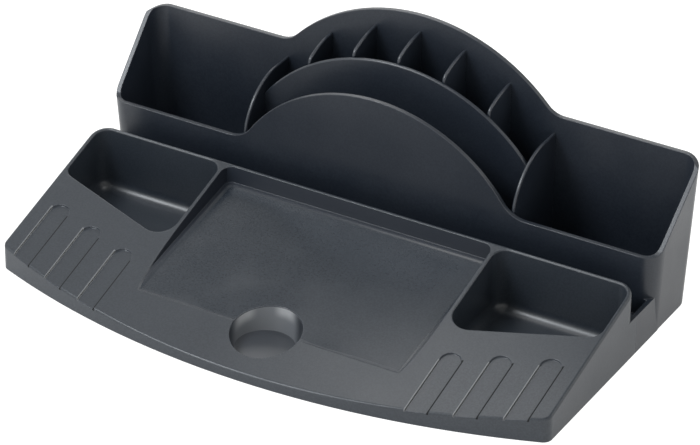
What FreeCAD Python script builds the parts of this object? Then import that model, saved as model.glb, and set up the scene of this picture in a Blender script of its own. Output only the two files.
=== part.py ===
"""Tool storage caddy for the modelling bench: a sloping front tray clipped to a taller rear caddy.

Frame: +X right, +Y to the back, +Z up, millimetres. The origin is under the middle of the whole
caddy, on the table.
"""

import FreeCAD, Part
import Sketcher
import os

from FreeCAD import Vector

doc = FreeCAD.newDocument("tool_storage_caddy")
sheet = doc.addObject("Spreadsheet::Sheet", "sizes")

# Driving dimensions: alias, value in millimetres or as a plain ratio, meaning
SIZES = [
    ("half_width", 133.0, "half the width of the tray and the ledge"),
    ("lift", 1.0, "gap under the walls, which the rubber feet make"),
    ("wall", 2.0, "wall of both mouldings"),
    ("front_y", -77.45, "front end of the curved front edge"),
    ("front_radius", 366.5, "radius of the front edge in plan"),
    ("front_corner", 4.2, "radius of the two front corners in plan"),
    ("tray_rear", 25.2, "outside of the tray's rear wall"),
    ("rear_corner", 8.0, "radius of the tray's rear corners above the ledge's ends"),
    ("deck_front", 5.4, "height of the deck at the front end"),
    ("deck_slope", 0.285, "rise of the deck per millimetre to the back"),
    ("lip_round", 1.2, "rounding of the deck's outer edge"),
    ("cup_rim_bevel", 0.4, "bevel of the cups' rims"),
    ("clearance_top", 120.0, "height above everything, where cuts end"),
    ("cup_inner", 68.0, "inner side of a cup, from the middle"),
    ("cup_outer", 131.0, "outer side of a cup, from the middle"),
    ("cup_rear", 23.2, "rear side of a cup"),
    ("cup_front", -25.2, "front side of a cup at its inner side"),
    ("cup_skew", 0.305, "slant of a cup's front side"),
    ("cup_floor", 4.2, "height of a cup's floor"),
    ("cup_round", 5.2, "rounding between a cup's floor and walls"),
    ("cup_nose", 8.5, "corner radius of a cup at the inner front"),
    ("cup_corner", 6.0, "other corner radii of a cup"),
    ("recess_half", 66.3, "half the width of the note recess"),
    ("recess_front", -53.3, "front line of the note recess"),
    ("recess_floor", 11.95, "height of the recess floor at its front line"),
    ("recess_slope", 0.18, "rise of the recess floor"),
    ("recess_corner", 4.6, "corner radius at the rear of the recess"),
    ("recess_round", 4.0, "rounding between recess floor and walls"),
    ("scoop_y", -54.3, "middle of the finger scoop"),
    ("scoop_radius", 12.7, "radius of the scoop's floor"),
    ("scoop_flare", 0.36, "widening of the scoop per millimetre of height"),
    ("scoop_floor", 3.7, "height of the scoop's floor"),
    ("scoop_round", 2.6, "rounding between scoop floor and wall"),
    ("channel_first", 80.2, "middle of the innermost tool channel"),
    ("channel_pitch", 20.0, "spacing of the tool channels"),
    ("channel_width", 9.4, "width of a tool channel"),
    ("channel_depth", 0.7, "depth of a tool channel"),
    ("channel_gap", 14.0, "distance from a cup to the end of a channel"),
    ("channel_end", 4.55, "corner radius at the upper end of a channel"),
    ("caddy_front", 38.4, "front of the caddy at the table"),
    ("caddy_rear", 77.3, "rear of the caddy at the table"),
    ("caddy_half", 132.8, "half the width of the caddy at the table"),
    ("draft_side", 0.06, "outward lean of the caddy's side walls"),
    ("draft_front", 0.04, "outward lean of the caddy's front panel"),
    ("draft_rear", 0.004, "outward lean of the caddy's rear wall"),
    ("caddy_front_corner", 8.0, "radius of the caddy's front corners in plan"),
    ("caddy_rear_corner", 9.0, "radius of the caddy's rear corners in plan"),
    ("caddy_floor", 4.2, "height of the caddy's floor"),
    ("caddy_round", 3.2, "rounding between caddy floor and walls"),
    ("rim_front", 40.5, "rim height at the front corners"),
    ("rim_rear", 71.2, "rim height at the rear wall"),
    ("rim_bend", 5.0, "radius of the bends in the side rims"),
    ("rim_ease", 2.0, "distance of those bends from the front and rear walls"),
    ("rim_fall", 127.0, "where the rear rim starts to fall towards the corners"),
    ("rim_fall_radius", 18.0, "radius of that fall"),
    ("front_arch_radius", 75.7, "radius of the front panel's arch"),
    ("front_arch_centre", 3.3, "height of that arch's centre"),
    ("front_arch_blend", 13.2, "radius that blends it into the rim"),
    ("rear_arch_radius", 85.6, "radius of the rear wall's arch"),
    ("rear_arch_centre", 15.8, "height of that arch's centre"),
    ("rear_arch_blend", 10.6, "radius that blends it into the rim"),
    ("arch_depth", 8.0, "depth of the space that each arch trims"),
    ("ledge_height", 11.6, "top of the ledge that joins caddy and tray"),
    ("ledge_end", 19.5, "top of the ledge's two end walls"),
    ("partition_y", 55.7, "middle of the letter partition"),
    ("partition_radius", 82.9, "radius of the partition's arch"),
    ("partition_centre", 4.1, "height of that arch's centre"),
    ("partition_thickness", 1.8, "thickness of the partition"),
    ("rib_pitch", 22.1, "width of a pen cell with its rib"),
    ("rib_thickness", 1.5, "thickness of ribs and end dividers"),
    ("rib_rise", 6.8, "rise of a rib from the partition to the rear wall"),
    ("rib_run", 19.0, "length of that rise"),
    ("rib_knee", 3.5, "radius at the start of that rise"),
    ("end_start", 39.9, "height of an end divider at the front panel"),
    ("end_rise", 23.1, "rise of an end divider"),
    ("end_run", 26.4, "length of that rise"),
    ("end_knee", 18.0, "radius at the start of that rise"),
    ("plate_bevel", 0.4, "bevel of the dividers' top edges"),
    ("tab_width", 9.0, "width of a divider's tab"),
    ("clip_width", 14.0, "width of a clip"),
    ("clip_spacing", 44.0, "spacing of the clips"),
    ("clip_height", 4.6, "underside of a clip"),
    ("clip_reach", 3.4, "how far a clip goes past the tray's wall"),
    ("clip_barb", 1.2, "height of a clip's barb"),
    ("clip_play", 0.3, "room beside and below a clip in its slot"),
    ("foot_radius", 6.0, "radius of a rubber foot"),
    ("foot_height", 2.2, "height of a rubber foot"),
    ("foot_bevel", 0.6, "bevel of a foot's lower edge"),
    ("foot_x", 99.0, "side place of the feet"),
    ("foot_front", 4.0, "place of the front feet"),
    ("foot_back", 56.0, "place of the rear feet"),
]
for row, (alias, value, meaning) in enumerate(SIZES, start=1):
    sheet.set("A%d" % row, meaning)
    sheet.set("B%d" % row, str(value))
    sheet.setAlias("B%d" % row, alias)
doc.recompute()

# Limits for telling edges apart, and the spare length of a cut past what it cuts
LONG_EDGE = 20.0
CLOSE = 0.02
SPARE = 8.0

PEN_DIVIDERS = 5
CHANNELS = 3
SIDES = (("left", "-"), ("right", ""))
CLIPS = (("left", "-1"), ("middle", "0"), ("right", "1"))


def size(formula):
    """Value of a formula in the sheet's terms, such as 'sizes.wall * 2'."""
    return float(sheet.evalExpression(formula))


def deck(place, drop="0"):
    """Formula for the deck's height at a place along Y, lowered by drop."""
    rise = "sizes.deck_slope * ((%s) - sizes.front_y)" % place
    return "sizes.deck_front + %s - (%s)" % (rise, drop)


# Features


def new_body(name):
    return doc.addObject("PartDesign::Body", name)


def own_plane(body, role):
    """One of the body's own origin planes."""
    planes = [item for item in body.Origin.OriginFeatures if item.Role == role]
    return [(planes[0], "")]


def new_sketch(body, name, role, offset="0"):
    """Empty sketch on one of the body's own planes, moved along the plane's normal."""
    sketch = body.newObject("Sketcher::SketchObject", name)
    sketch.AttachmentSupport = own_plane(body, role)
    sketch.MapMode = "FlatFace"
    sketch.setExpression("AttachmentOffset.Base.z", offset)
    return sketch


def hold(sketch, formula, kind, *where):
    """Dimension of a sketch, bound to a formula."""
    number = sketch.addConstraint(Sketcher.Constraint(kind, *where, size(formula)))
    sketch.setExpression("Constraints[%d]" % number, formula)


def draw_arc(sketch, start, end, reach, counter):
    """Arc from start to end; returns its number and the numbers of its first and last point."""
    first, last = (start, end) if counter else (end, start)
    chord = last - first
    inward = Vector(-chord.y, chord.x, 0).normalize()
    height = max(reach**2 - (chord.Length / 2) ** 2, 0.0) ** 0.5
    circle = Part.Circle((first + last) * 0.5 + inward * height, Vector(0, 0, 1), reach)
    arc = Part.ArcOfCircle(circle, circle.parameter(first), circle.parameter(last))
    side = sketch.addGeometry(arc)
    return (side, 1, 2) if counter else (side, 2, 1)


def draw_loop(sketch, corners, arcs=None):
    """Closed outline whose corners are held by dimensions.

    corners are pairs of formulas. arcs gives, for the side that starts at a corner, the formula
    of its radius and whether the arc turns counter-clockwise.
    """
    arcs = arcs or {}
    points = [Vector(size(u), size(v), 0) for u, v in corners]
    sides = []
    for index, start in enumerate(points):
        end = points[(index + 1) % len(points)]
        if index in arcs:
            radius, counter = arcs[index]
            sides.append(draw_arc(sketch, start, end, size(radius), counter))
        else:
            sides.append((sketch.addGeometry(Part.LineSegment(start, end)), 1, 2))
    for index, (u, v) in enumerate(corners):
        side, first, last = sides[index]
        following, following_first, _ = sides[(index + 1) % len(sides)]
        meet = Sketcher.Constraint("Coincident", side, last, following, following_first)
        sketch.addConstraint(meet)
        hold(sketch, u, "DistanceX", -1, 1, side, first)
        hold(sketch, v, "DistanceY", -1, 1, side, first)
        if index in arcs:
            hold(sketch, arcs[index][0], "Radius", side)


def draw_circle(sketch, along, radius):
    """Circle on the sketch's upright axis."""
    centre = Vector(0, size(along), 0)
    ring = sketch.addGeometry(Part.Circle(centre, Vector(0, 0, 1), size(radius)))
    sketch.addConstraint(Sketcher.Constraint("PointOnObject", ring, 3, -2))
    hold(sketch, along, "DistanceY", -1, 1, ring, 3)
    hold(sketch, radius, "Radius", ring)


def add_pad(body, sketch, name, length, symmetric=False):
    pad = body.newObject("PartDesign::Pad", name)
    pad.Profile = sketch
    pad.setExpression("Length", length)
    if symmetric:
        pad.SideType = "Symmetric"
    doc.recompute()
    return pad


def add_pocket(body, sketch, name, length, symmetric=False, backwards=False):
    """Pocket that must take material away."""
    before = body.Shape.Volume
    pocket = body.newObject("PartDesign::Pocket", name)
    pocket.Profile = sketch
    pocket.setExpression("Length", length)
    pocket.Reversed = backwards
    if symmetric:
        pocket.SideType = "Symmetric"
    doc.recompute()
    if body.Shape.Volume > before - 1.0:
        raise RuntimeError(name + " cuts nothing")
    return pocket


def pick_edges(name, base, chosen):
    """Numbers of the edges of an object that a test picks."""
    numbers = [number for number, edge in enumerate(base.Shape.Edges, 1) if chosen(edge)]
    if not numbers:
        raise RuntimeError(name + " finds no edge")
    return numbers


def ease_edges(body, kind, measure, name, amount, chosen):
    """Adds a fillet or a chamfer on the edges of the body's last feature that the test picks."""
    base = body.Tip
    edges = ["Edge%d" % number for number in pick_edges(name, base, chosen)]
    result = body.newObject(kind, name)
    result.Base = (base, edges)
    result.setExpression(measure, amount)
    doc.recompute()


def add_fillet(body, name, radius, chosen):
    ease_edges(body, "PartDesign::Fillet", "Radius", name, radius, chosen)


def add_chamfer(body, name, width, chosen):
    ease_edges(body, "PartDesign::Chamfer", "Size", name, width, chosen)


def add_floor(body, name, radius, grow, chosen):
    """Rounds a hollow's floor into its walls; one wall below, a chamfer keeps the wall even."""
    if grow == "0":
        add_fillet(body, name, radius, chosen)
    else:
        add_chamfer(body, name, "(2 - sqrt(2)) * (%s + %s)" % (radius, grow), chosen)


def bevelled(name, base, width, chosen):
    """Copy of an object with a chamfer on the chosen edges."""
    reach = size(width)
    result = doc.addObject("Part::Chamfer", name)
    result.Base = base
    result.Edges = [(number, reach, reach) for number in pick_edges(name, base, chosen)]
    doc.recompute()
    return result


def join(kind, name, first, second):
    """Boolean of two objects; a list as second is fused first."""
    if isinstance(second, list):
        second = fuse(name + "_tools", second)
    result = doc.addObject(kind, name)
    result.Base = first
    result.Tool = second
    result.Refine = True
    doc.recompute()
    return result


def fuse(name, objects):
    result = doc.addObject("Part::MultiFuse", name)
    result.Shapes = objects
    result.Refine = True
    doc.recompute()
    return result


def mirror(name, source):
    """The same piece on the other side of the middle plane."""
    result = doc.addObject("Part::Mirroring", name)
    result.Source = source
    result.Normal = Vector(1, 0, 0)
    doc.recompute()
    return result


def box(name, low, high):
    """Block between two corners, given as formulas."""
    result = doc.addObject("Part::Box", name)
    for prop, axis, start, end in zip(("Length", "Width", "Height"), "xyz", low, high):
        result.setExpression(prop, "(%s) - (%s)" % (end, start))
        result.setExpression("Placement.Base." + axis, start)
    doc.recompute()
    return result


# Tests that pick edges


def middle(edge):
    return edge.valueAt((edge.FirstParameter + edge.LastParameter) / 2)


def is_upright(edge):
    """True for an edge that rises much more than it runs."""
    bounds = edge.BoundBox
    return bounds.ZLength > LONG_EDGE / 4 and max(bounds.XLength, bounds.YLength) < bounds.ZLength / 4


def at_bottom(level):
    """Test for edges that lie no higher than a level, given as a formula."""
    height = size(level) + CLOSE
    return lambda edge: edge.BoundBox.ZMax < height


def on_deck(edge):
    """True where the middle of an edge lies in the plane of the deck."""
    spot = middle(edge)
    return abs(spot.z - size(deck(str(spot.y)))) < CLOSE


def touches(edge, item):
    """True where the middle of an edge lies on the skin of an object."""
    spot = Part.Vertex(middle(edge))
    return any(spot.distToShape(shell)[0] < CLOSE / 4 for shell in item.Shape.Shells)


# Front tray: a wedge with a curved front edge


def tray_block(name, inset, low):
    """Solid wedge of the tray, with its walls and its deck moved inwards by inset."""
    body = new_body(name)
    across = "(sizes.half_width - %s)" % inset
    back = "sizes.tray_rear - %s" % inset
    curve = "(sizes.front_radius - %s)" % inset
    front = "sizes.front_y + sizes.front_radius - sqrt(%s^2 - %s^2)" % (curve, across)
    plan = new_sketch(body, name + "_plan", "XY_Plane", low)
    corners = [("-" + across, back), ("-" + across, front), (across, front), (across, back)]
    draw_loop(plan, corners, {1: (curve, True)})
    add_pad(body, plan, name + "_solid", "sizes.clearance_top")

    def in_front(edge):
        return is_upright(edge) and middle(edge).y < 0

    add_fillet(body, name + "_corners", "sizes.front_corner - %s" % inset, in_front)
    ahead = "sizes.front_y - %s" % SPARE
    behind = "sizes.tray_rear + %s" % SPARE
    top = "2 * sizes.clearance_top"
    slope = new_sketch(body, name + "_slope", "YZ_Plane")
    points = [(ahead, deck(ahead, inset)), (behind, deck(behind, inset)), (behind, top), (ahead, top)]
    draw_loop(slope, points)
    add_pocket(body, slope, name + "_deck", "4 * sizes.half_width", symmetric=True)
    return body


def tray_outside():
    """The wedge with its rear corners rounded above the ledge and its deck edge rounded."""
    body = tray_block("tray_outside", "0", "sizes.lift")
    inner_y = "sizes.tray_rear - sizes.rear_corner"
    for side, sign in SIDES:
        edge_x = sign + "sizes.half_width"
        inner_x = sign + "(sizes.half_width - sizes.rear_corner)"
        corner = new_sketch(body, "rear_corner_" + side, "XY_Plane", "sizes.ledge_end")
        points = [(inner_x, "sizes.tray_rear"), (edge_x, inner_y), (edge_x, "sizes.tray_rear")]
        draw_loop(corner, points, {0: ("sizes.rear_corner", side == "left")})
        add_pocket(body, corner, "rear_rounding_" + side, "sizes.clearance_top", backwards=True)
    add_fillet(body, "lip_rounding", "sizes.lip_round", on_deck)
    return body


def cup_hollow(name, grow):
    """Inside of the right cup, made larger all round by grow."""
    body = new_body(name)
    inner = "sizes.cup_inner - %s" % grow
    outer = "sizes.cup_outer + %s" % grow
    back = "sizes.cup_rear + %s" % grow
    low = "sizes.cup_floor - %s" % grow
    lead = "%s * sqrt(1 + sizes.cup_skew^2)" % grow
    near = "sizes.cup_front - sizes.cup_skew * %s - %s" % (grow, lead)
    reach = "(sizes.cup_outer - sizes.cup_inner + %s)" % grow
    far = "sizes.cup_front + sizes.cup_skew * %s - %s" % (reach, lead)
    plan = new_sketch(body, name + "_plan", "XY_Plane", low)
    draw_loop(plan, [(inner, near), (outer, far), (outer, back), (inner, back)])
    add_pad(body, plan, name + "_solid", "sizes.clearance_top")
    centre_x = size("(sizes.cup_inner + sizes.cup_outer) / 2")

    def at_nose(edge):
        return is_upright(edge) and middle(edge).x < centre_x and middle(edge).y < 0

    def at_corner(edge):
        return is_upright(edge) and (middle(edge).x > centre_x or middle(edge).y > 0)

    add_fillet(body, name + "_nose", "sizes.cup_nose + %s" % grow, at_nose)
    add_fillet(body, name + "_corners", "sizes.cup_corner + %s" % grow, at_corner)
    add_floor(body, name + "_floor", "sizes.cup_round", grow, at_bottom(low))
    return body


def recess_hollow(name, grow):
    """Space of the note recess: a wedge that runs out to nothing at the front."""
    body = new_body(name)
    drop = "%s * sqrt(1 + sizes.recess_slope^2)" % grow
    front = "sizes.recess_front - %s" % grow
    back = "sizes.cup_rear + %s" % grow
    low = "sizes.recess_floor - sizes.recess_slope * %s - %s" % (grow, drop)
    climb = "sizes.recess_slope * (sizes.cup_rear - sizes.recess_front + %s)" % grow
    high = "sizes.recess_floor + %s - %s" % (climb, drop)
    top = "sizes.clearance_top"
    side = new_sketch(body, name + "_side", "YZ_Plane")
    draw_loop(side, [(front, low), (back, high), (back, top), (front, top)])
    add_pad(body, side, name + "_solid", "2 * (sizes.recess_half + %s)" % grow, symmetric=True)
    rear = size(back)
    roof = size(top)

    def at_rear_corner(edge):
        return is_upright(edge) and middle(edge).y > rear - CLOSE

    def on_floor(edge):
        bounds = edge.BoundBox
        return bounds.ZMax < roof - CLOSE and bounds.YMax > 0 and not is_upright(edge)

    add_fillet(body, name + "_corners", "sizes.recess_corner + %s" % grow, at_rear_corner)
    add_floor(body, name + "_floor", "sizes.recess_round", grow, on_floor)
    return body


def scoop_hollow(name, grow):
    """Round finger scoop with a flared wall, at the front of the note recess."""
    body = new_body(name)
    low = "sizes.scoop_floor - %s" % grow
    cone = body.newObject("PartDesign::AdditiveCone", name + "_solid")
    cone.AttachmentSupport = own_plane(body, "XY_Plane")
    cone.MapMode = "FlatFace"
    narrow = "sizes.scoop_radius + %s" % grow
    cone.setExpression("Radius1", narrow)
    cone.setExpression("Radius2", "%s + sizes.scoop_flare * sizes.clearance_top" % narrow)
    cone.setExpression("Height", "sizes.clearance_top")
    cone.setExpression("AttachmentOffset.Base.y", "sizes.scoop_y")
    cone.setExpression("AttachmentOffset.Base.z", low)
    doc.recompute()
    add_floor(body, name + "_floor", "sizes.scoop_round", grow, at_bottom(low))
    return body


def channel_slots(name, grow, sign):
    """Space of the tool channels of one side, with round upper ends."""
    body = new_body(name)
    plan = new_sketch(body, name + "_plan", "XY_Plane")
    half = "(sizes.channel_width / 2 + %s)" % grow
    ahead = "sizes.front_y - %s" % SPARE
    for number in range(CHANNELS):
        across = "(sizes.channel_first + %d * sizes.channel_pitch)" % number
        place = "%s1 * %s" % (sign, across)
        line = "sizes.cup_front + sizes.cup_skew * (%s - sizes.cup_inner)" % across
        end = "%s - sizes.channel_gap + %s" % (line, grow)
        left = "%s - %s" % (place, half)
        right = "%s + %s" % (place, half)
        draw_loop(plan, [(left, ahead), (right, ahead), (right, end), (left, end)])
    add_pad(body, plan, name + "_solid", "sizes.clearance_top")
    front = size(ahead)

    def at_upper_end(edge):
        return is_upright(edge) and middle(edge).y > front + CLOSE

    add_fillet(body, name + "_ends", "sizes.channel_end + %s" % grow, at_upper_end)
    bed = new_sketch(body, name + "_bed", "YZ_Plane")
    drop = "sizes.channel_depth + %s" % grow
    behind = "sizes.cup_rear"
    points = [(ahead, "-1"), (behind, "-1"), (behind, deck(behind, drop)), (ahead, deck(ahead, drop))]
    draw_loop(bed, points)
    add_pocket(body, bed, name + "_floor", "4 * sizes.half_width", symmetric=True)
    return body


def pockets(ending, grow):
    """Every hollow in the tray's upper side, made larger all round by grow."""
    cup = cup_hollow("cup_right_" + ending, grow)
    result = [cup, mirror("cup_left_" + ending, cup)]
    result.append(recess_hollow("recess_" + ending, grow))
    result.append(scoop_hollow("scoop_" + ending, grow))
    for side, sign in SIDES:
        result.append(channel_slots("channels_%s_%s" % (side, ending), grow, sign))
    return result


def make_tray():
    """Thin-walled tray: the wedge less its pockets, and less a hollow one wall below them."""
    spaces = pockets("space", "0")
    topped = join("Part::Cut", "tray_topped", tray_outside(), spaces)
    cups = spaces[:2]

    def on_cup_rim(edge):
        return on_deck(edge) and any(touches(edge, cup) for cup in cups)

    rimmed = bevelled("tray_rimmed", topped, "sizes.cup_rim_bevel", on_cup_rim)
    core = tray_block("tray_core", "sizes.wall", "0")
    hollow = join("Part::Cut", "tray_hollow", core, pockets("skin", "sizes.wall"))
    shell = join("Part::Cut", "tray_shell", rimmed, hollow)
    return join("Part::Cut", "tray_clipped", shell, clip_slots())


def clip_slots():
    """Slots in the tray's rear wall that the clips spring through."""
    slots = []
    inside = "sizes.tray_rear - 2 * sizes.wall"
    outside = "sizes.tray_rear + sizes.wall"
    under = "sizes.clip_height - sizes.clip_play"
    over = "sizes.clip_height + sizes.wall"
    half = "(sizes.clip_width / 2 + sizes.clip_play)"
    for name, place in CLIPS:
        left = "%s * sizes.clip_spacing - %s" % (place, half)
        right = "%s * sizes.clip_spacing + %s" % (place, half)
        slots.append(box("clip_slot_" + name, (left, inside, under), (right, outside, over)))
    return slots


# Rear caddy: a drafted open box whose front and rear walls rise to arches


def drafted_block(name, inset, low):
    """Block that widens upwards, with its walls moved inwards by inset."""
    body = new_body(name)
    block = body.newObject("PartDesign::AdditiveWedge", name + "_solid")
    block.AttachmentSupport = own_plane(body, "XZ_Plane")
    block.MapMode = "FlatFace"
    # On this plane the block's own Y is up and its own Z points to the front
    levels = (("Ymin", low, "X", "Z"), ("Ymax", "sizes.clearance_top", "X2", "Z2"))
    for level, height, across_name, along_name in levels:
        rise = "(%s - sizes.lift)" % height
        across = "(sizes.caddy_half + sizes.draft_side * %s - %s)" % (rise, inset)
        front = "(sizes.caddy_front - sizes.draft_front * %s + %s)" % (rise, inset)
        back = "(sizes.caddy_rear + sizes.draft_rear * %s - %s)" % (rise, inset)
        block.setExpression(level, height)
        block.setExpression(across_name + "max", across)
        block.setExpression(across_name + "min", "-" + across)
        block.setExpression(along_name + "max", "-" + front)
        block.setExpression(along_name + "min", "-" + back)
    doc.recompute()

    between = size("(sizes.caddy_front + sizes.caddy_rear) / 2")

    def in_front(edge):
        return edge.BoundBox.ZLength > LONG_EDGE and middle(edge).y < between

    def behind(edge):
        return edge.BoundBox.ZLength > LONG_EDGE and middle(edge).y > between

    add_fillet(body, name + "_front_corners", "sizes.caddy_front_corner - %s" % inset, in_front)
    add_fillet(body, name + "_rear_corners", "sizes.caddy_rear_corner - %s" % inset, behind)
    return body


def arch_prism(name, shoulder, place):
    """Everything under an arched wall top, as a prism about one wall."""
    radius = "sizes.%s_radius" % name
    centre = "sizes.%s_centre" % name
    blend = "sizes.%s_blend" % name
    body = new_body(name)
    plan = new_sketch(body, name + "_outline", "XZ_Plane", "-(%s)" % place)
    foot = "sqrt(%s^2 - (%s - %s)^2)" % (radius, shoulder, centre)
    wide = "(%s + %s)" % (foot, blend)
    points = [
        ("-" + wide, "0"),
        (wide, "0"),
        (wide, shoulder),
        (foot, shoulder),
        ("-" + foot, shoulder),
        ("-" + wide, shoulder),
    ]
    draw_loop(plan, points, {3: (radius, True)})
    add_pad(body, plan, name + "_solid", "sizes.arch_depth", symmetric=True)
    sunk = size(shoulder)
    reach = size(foot)

    def at_foot(edge):
        spot = middle(edge)
        return abs(spot.z - sunk) < CLOSE and abs(abs(spot.x) - reach) < CLOSE

    add_fillet(body, name + "_blends", blend, at_foot)
    return body


def side_rim_prism():
    """Everything under the side rims, which climb from the front rim to the rear rim."""
    body = new_body("side_rims")
    outline = new_sketch(body, "side_rims_outline", "YZ_Plane")
    low_end = "sizes.caddy_front + sizes.wall + sizes.rim_ease - sizes.draft_front * sizes.rim_front"
    high_end = "sizes.caddy_rear - sizes.wall - sizes.rim_ease + sizes.draft_rear * sizes.rim_rear"
    ahead = "sizes.tray_rear - %s" % SPARE
    behind = "sizes.caddy_rear + 2 * %s" % SPARE
    points = [
        (ahead, "0"),
        (behind, "0"),
        (behind, "sizes.rim_rear"),
        (high_end, "sizes.rim_rear"),
        (low_end, "sizes.rim_front"),
        (ahead, "sizes.rim_front"),
    ]
    draw_loop(outline, points)
    add_pad(body, outline, "side_rims_solid", "4 * sizes.half_width", symmetric=True)
    places = (size(low_end), size(high_end))

    def at_bend(edge):
        spot = middle(edge)
        across = edge.BoundBox.XLength > LONG_EDGE
        return across and spot.z > 1 and min(abs(spot.y - place) for place in places) < CLOSE

    add_fillet(body, "side_rims_bends", "sizes.rim_bend", at_bend)
    drop = "sizes.rim_rear - sizes.rim_fall_radius"
    for side, sign in SIDES:
        inner = sign + "sizes.rim_fall"
        outer = sign + "(sizes.rim_fall + sizes.rim_fall_radius)"
        corner = new_sketch(body, "rim_corner_" + side, "XZ_Plane")
        points = [(inner, "sizes.rim_rear"), (outer, drop), (outer, "sizes.rim_rear")]
        draw_loop(corner, points, {0: ("sizes.rim_fall_radius", side == "left")})
        add_pocket(body, corner, "rim_fall_" + side, "4 * sizes.half_width", symmetric=True)
    return body


def ledge_pieces():
    """Low bridge from the caddy to the tray: top, front lip, ends and corners, with the clips."""
    across = "sizes.half_width"
    front = "sizes.tray_rear"
    back = "sizes.caddy_front + sizes.wall / 2"
    top = "sizes.ledge_height"
    low = "sizes.lift"
    skin_low = top + " - sizes.wall"
    lip_back = front + " + sizes.wall"
    pieces = [
        box("ledge_top", ("-" + across, front, skin_low), (across, back, top)),
        box("ledge_lip", ("-" + across, front, low), (across, lip_back, top)),
    ]
    for side, sign in SIDES:
        ends = ["(%s1 * (%s - sizes.wall))" % (sign, across), sign + across]
        filled = ["(%s1 * (%s - sizes.caddy_front_corner / 2))" % (sign, across), sign + across]
        if side == "left":
            ends.reverse()
            filled.reverse()
        corner_back = "sizes.caddy_front + sizes.caddy_front_corner"
        end_top = "sizes.ledge_end"
        pieces.append(box("ledge_end_" + side, (ends[0], front, low), (ends[1], back, end_top)))
        pieces.append(
            box("ledge_corner_" + side, (filled[0], "sizes.caddy_front", low), (filled[1], corner_back, end_top))
        )
    return pieces


def clips():
    """Arms with barbs that reach from the ledge through the tray's rear wall."""
    pieces = []
    inside = "sizes.tray_rear - sizes.wall"
    tip = inside + " - sizes.clip_reach"
    root = "sizes.tray_rear + sizes.wall / 2"
    under = "sizes.clip_height"
    over = "sizes.clip_height + sizes.wall"
    raised = over + " + sizes.clip_barb"
    for name, place in CLIPS:
        left = "%s * sizes.clip_spacing - sizes.clip_width / 2" % place
        right = "%s * sizes.clip_spacing + sizes.clip_width / 2" % place
        pieces.append(box("clip_arm_" + name, (left, tip, under), (right, root, over)))
        pieces.append(box("clip_barb_" + name, (left, tip, over), (right, inside, raised)))
    return pieces


def make_caddy(space, mortises):
    """Open box trimmed by the rims and the two arches, with the ledge and its clips."""
    outside = drafted_block("caddy_outside", "0", "sizes.lift")
    full = join("Part::Cut", "caddy_full", fuse("caddy_solid", [outside] + ledge_pieces()), space)
    front = "sizes.caddy_front - sizes.draft_front * sizes.rim_front"
    rear = "sizes.caddy_rear + sizes.draft_rear * sizes.rim_rear"
    arches = [arch_prism("front_arch", "sizes.rim_front", front), arch_prism("rear_arch", "sizes.rim_rear", rear)]
    under_rim = fuse("under_rim", [side_rim_prism()] + arches)
    trimmed = join("Part::Common", "caddy_trimmed", full, under_rim)
    whole = fuse("caddy_whole", [trimmed] + clips())
    under_floor = box(
        "under_floor",
        ("-sizes.caddy_half", "sizes.caddy_front", "0"),
        ("sizes.caddy_half", "sizes.caddy_rear", "sizes.caddy_floor - sizes.wall"),
    )
    skirt_inside = drafted_block("skirt_inside", "sizes.wall", "0")
    underside = join("Part::Common", "caddy_underside", skirt_inside, under_floor)
    return join("Part::Cut", "caddy_shell", whole, [underside] + mortises)


# Dividers: upright plates that stand on the caddy's floor


def tab(name, place, half, front, back):
    """Tab under a divider, as deep as the caddy's floor is thick."""
    low = "sizes.caddy_floor - sizes.wall"
    left = "%s - %s" % (place, half)
    right = "%s + %s" % (place, half)
    return box(name, (left, front, low), (right, back, "sizes.caddy_floor"))


def partition_height(place):
    """Formula for the top of the letter partition at a place across."""
    return "sizes.partition_centre + sqrt(sizes.partition_radius^2 - (%s)^2)" % place


def make_partition():
    """Arched plate between the two end dividers, with its two tabs."""
    body = new_body("partition_plate")
    half = "(3 * sizes.rib_pitch - sizes.rib_thickness / 2)"
    low = "sizes.caddy_floor"
    plan = new_sketch(body, "partition_outline", "XZ_Plane", "-sizes.partition_y")
    shoulder = partition_height(half)
    points = [("-" + half, low), (half, low), (half, shoulder), ("-" + half, shoulder)]
    draw_loop(plan, points, {2: ("sizes.partition_radius", True)})
    add_pad(body, plan, "partition_solid", "sizes.partition_thickness", symmetric=True)

    def on_arch(edge):
        return edge.BoundBox.XLength > LONG_EDGE and edge.BoundBox.ZLength > LONG_EDGE

    add_chamfer(body, "partition_bevel", "sizes.plate_bevel", on_arch)
    front = "sizes.partition_y - sizes.partition_thickness / 2"
    back = "sizes.partition_y + sizes.partition_thickness / 2"
    tabs = []
    for side, sign in SIDES:
        place = "%s1.5 * sizes.rib_pitch" % sign
        tabs.append(tab("partition_tab_" + side, place, "sizes.tab_width / 2", front, back))
    return fuse("letter_partition", [body] + tabs), tabs


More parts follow.
